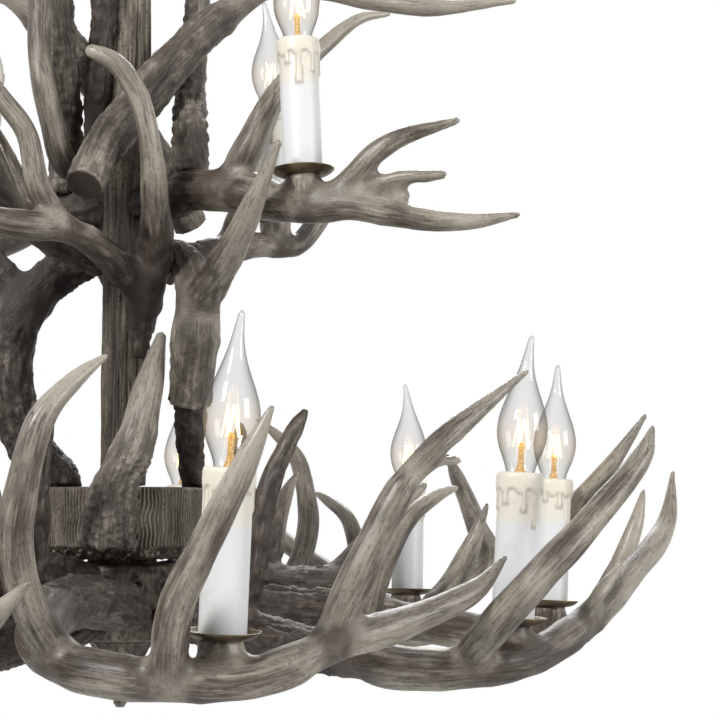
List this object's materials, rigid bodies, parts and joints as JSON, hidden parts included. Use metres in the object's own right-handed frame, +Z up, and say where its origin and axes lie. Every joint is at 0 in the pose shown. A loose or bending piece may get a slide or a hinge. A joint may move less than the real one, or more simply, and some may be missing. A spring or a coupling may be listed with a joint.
{
  "type": "antler chandelier",
  "caption": "Two-tier chandelier of interwoven antlers round a central column, with candle lamps on drip pans, hung by a short chain from a domed ceiling canopy.",
  "frame": {"origin": "centre of the ceiling strap on its ceiling face; the light hangs below", "axes": "+Z up towards the ceiling, -Y towards the pictured front, +X to the right of it"},
  "size_m": [0.8424, 0.8153, 0.9103],
  "materials": {
    "antler_resin": "satin",
    "bark_resin": "satin",
    "bulb_glass": "clear",
    "candle_white": "satin",
    "holder_plastic": "matte",
    "pan_bronze": "satin",
    "plated_steel": "satin",
    "dark_bronze": "satin"
  },
  "bodies": {
    "ceiling_plate": {"ceiling_strap": "plated_steel", "stud_locknut": "plated_steel", "canopy_loop": "dark_bronze"},
    "canopy": {"canopy": "dark_bronze"},
    "ring_nut": {"canopy_ring_nut": "dark_bronze"},
    "link_1": {"chain_link_1": "dark_bronze"},
    "link_2": {"chain_link_2": "dark_bronze"},
    "link_3": {"chain_link_3": "dark_bronze"},
    "fixture": {"arched_antler": "antler_resin", "collar_antler": "antler_resin", "crown_antler_1": "antler_resin", "crown_antler_2": "antler_resin", "fork_antler": "antler_resin", "hub_spur_1": "antler_resin", "hub_spur_2": "antler_resin", "hub_spur_3": "antler_resin", "lower_antler_1": "antler_resin", "lower_antler_2": "antler_resin", "lower_antler_3": "antler_resin", "lower_antler_4": "antler_resin", "lower_antler_5": "antler_resin", "lower_antler_6": "antler_resin", "lower_antler_7": "antler_resin", "lower_antler_8": "antler_resin", "lower_antler_9": "antler_resin", "prop_antler": "antler_resin", "rear_antler": "antler_resin", "sawn_antler": "antler_resin", "standing_antler_1": "antler_resin", "standing_antler_2": "antler_resin", "twin_antler": "antler_resin", "upper_arm_1": "antler_resin", "upper_arm_2": "antler_resin", "upper_arm_3": "antler_resin", "upper_arm_4": "antler_resin", "column_sleeve": "bark_resin", "burr_collar": "bark_resin", "hub": "bark_resin", "tail_cap": "bark_resin", "finial": "bark_resin", "centre_pipe": "plated_steel", "pipe_locknut": "plated_steel", "top_loop": "dark_bronze", "drip_pans": "pan_bronze", "lampholders": "holder_plastic", "candle_sleeves": "candle_white"},
    "bulb_1": {"bulb_1": "bulb_glass"},
    "bulb_2": {"bulb_2": "bulb_glass"},
    "bulb_3": {"bulb_3": "bulb_glass"},
    "bulb_4": {"bulb_4": "bulb_glass"},
    "bulb_5": {"bulb_5": "bulb_glass"},
    "bulb_6": {"bulb_6": "bulb_glass"},
    "bulb_7": {"bulb_7": "bulb_glass"},
    "bulb_8": {"bulb_8": "bulb_glass"},
    "bulb_9": {"bulb_9": "bulb_glass"},
    "bulb_10": {"bulb_10": "bulb_glass"},
    "bulb_11": {"bulb_11": "bulb_glass"},
    "bulb_12": {"bulb_12": "bulb_glass"},
    "bulb_13": {"bulb_13": "bulb_glass"}
  },
  "joints": [
    {"name": "canopy_drop", "type": "slide", "parent": "ceiling_plate", "child": "canopy", "axis": [0, 0, 1], "range_m": [-0.025, 0]},
    {"name": "ring_nut_turn", "type": "hinge", "parent": "canopy", "child": "ring_nut", "pos_m": [0, 0, -0.0393], "axis": [0, 0, -1], "range_deg": [0, 1440]},
    {"name": "chain_swing_1", "type": "hinge", "parent": "ceiling_plate", "child": "link_1", "pos_m": [0, 0, -0.069], "axis": [1, 0, 0], "range_deg": [-20, 20]},
    {"name": "chain_swing_2", "type": "hinge", "parent": "link_1", "child": "link_2", "pos_m": [0, 0, -0.10445], "axis": [0, 1, 0], "range_deg": [-20, 20]},
    {"name": "chain_swing_3", "type": "hinge", "parent": "link_2", "child": "link_3", "pos_m": [0, 0, -0.14015], "axis": [1, 0, 0], "range_deg": [-20, 20]},
    {"name": "fixture_swing", "type": "hinge", "parent": "link_3", "child": "fixture", "pos_m": [0, 0, -0.17585], "axis": [0, 1, 0], "range_deg": [-20, 20]},
    {"name": "bulb_1_unscrew", "type": "hinge", "parent": "fixture", "child": "bulb_1", "pos_m": [0.06173, -0.33622, -0.74416], "axis": [0.0348, -0.047, 0.9983], "range_deg": [0, 1440]},
    {"name": "bulb_2_unscrew", "type": "hinge", "parent": "fixture", "child": "bulb_2", "pos_m": [0.26341, -0.21788, -0.74416], "axis": [0.0569, -0.0136, 0.9983], "range_deg": [0, 1440]},
    {"name": "bulb_3_unscrew", "type": "hinge", "parent": "fixture", "child": "bulb_3", "pos_m": [0.34183, 0.00241, -0.74416], "axis": [0.0523, 0.0261, 0.9983], "range_deg": [0, 1440]},
    {"name": "bulb_4_unscrew", "type": "hinge", "parent": "fixture", "child": "bulb_4", "pos_m": [0.26031, 0.22157, -0.74416], "axis": [0.0233, 0.0537, 0.9983], "range_deg": [0, 1440]},
    {"name": "bulb_5_unscrew", "type": "hinge", "parent": "fixture", "child": "bulb_5", "pos_m": [0.05698, 0.33706, -0.74416], "axis": [-0.0167, 0.0561, 0.9983], "range_deg": [0, 1440]},
    {"name": "bulb_6_unscrew", "type": "hinge", "parent": "fixture", "child": "bulb_6", "pos_m": [-0.173, 0.29483, -0.74416], "axis": [-0.0488, 0.0323, 0.9983], "range_deg": [0, 1440]},
    {"name": "bulb_7_unscrew", "type": "hinge", "parent": "fixture", "child": "bulb_7", "pos_m": [-0.32204, 0.11465, -0.74416], "axis": [-0.0581, -0.0067, 0.9983], "range_deg": [0, 1440]},
    {"name": "bulb_8_unscrew", "type": "hinge", "parent": "fixture", "child": "bulb_8", "pos_m": [-0.32039, -0.11918, -0.74416], "axis": [-0.0402, -0.0425, 0.9983], "range_deg": [0, 1440]},
    {"name": "bulb_9_unscrew", "type": "hinge", "parent": "fixture", "child": "bulb_9", "pos_m": [-0.16883, -0.29724, -0.74416], "axis": [-0.0035, -0.0584, 0.9983], "range_deg": [0, 1440]},
    {"name": "bulb_10_unscrew", "type": "hinge", "parent": "fixture", "child": "bulb_10", "pos_m": [0.12278, -0.12494, -0.42813], "axis": [-0.0367, 0.0373, 0.9986], "range_deg": [0, 1440]},
    {"name": "bulb_11_unscrew", "type": "hinge", "parent": "fixture", "child": "bulb_11", "pos_m": [0.12494, 0.12278, -0.41813], "axis": [-0.0373, -0.0367, 0.9986], "range_deg": [0, 1440]},
    {"name": "bulb_12_unscrew", "type": "hinge", "parent": "fixture", "child": "bulb_12", "pos_m": [-0.12278, 0.12494, -0.42813], "axis": [0.0367, -0.0373, 0.9986], "range_deg": [0, 1440]},
    {"name": "bulb_13_unscrew", "type": "hinge", "parent": "fixture", "child": "bulb_13", "pos_m": [-0.12494, -0.12278, -0.41813], "axis": [0.0373, 0.0367, 0.9986], "range_deg": [0, 1440]}
  ]
}
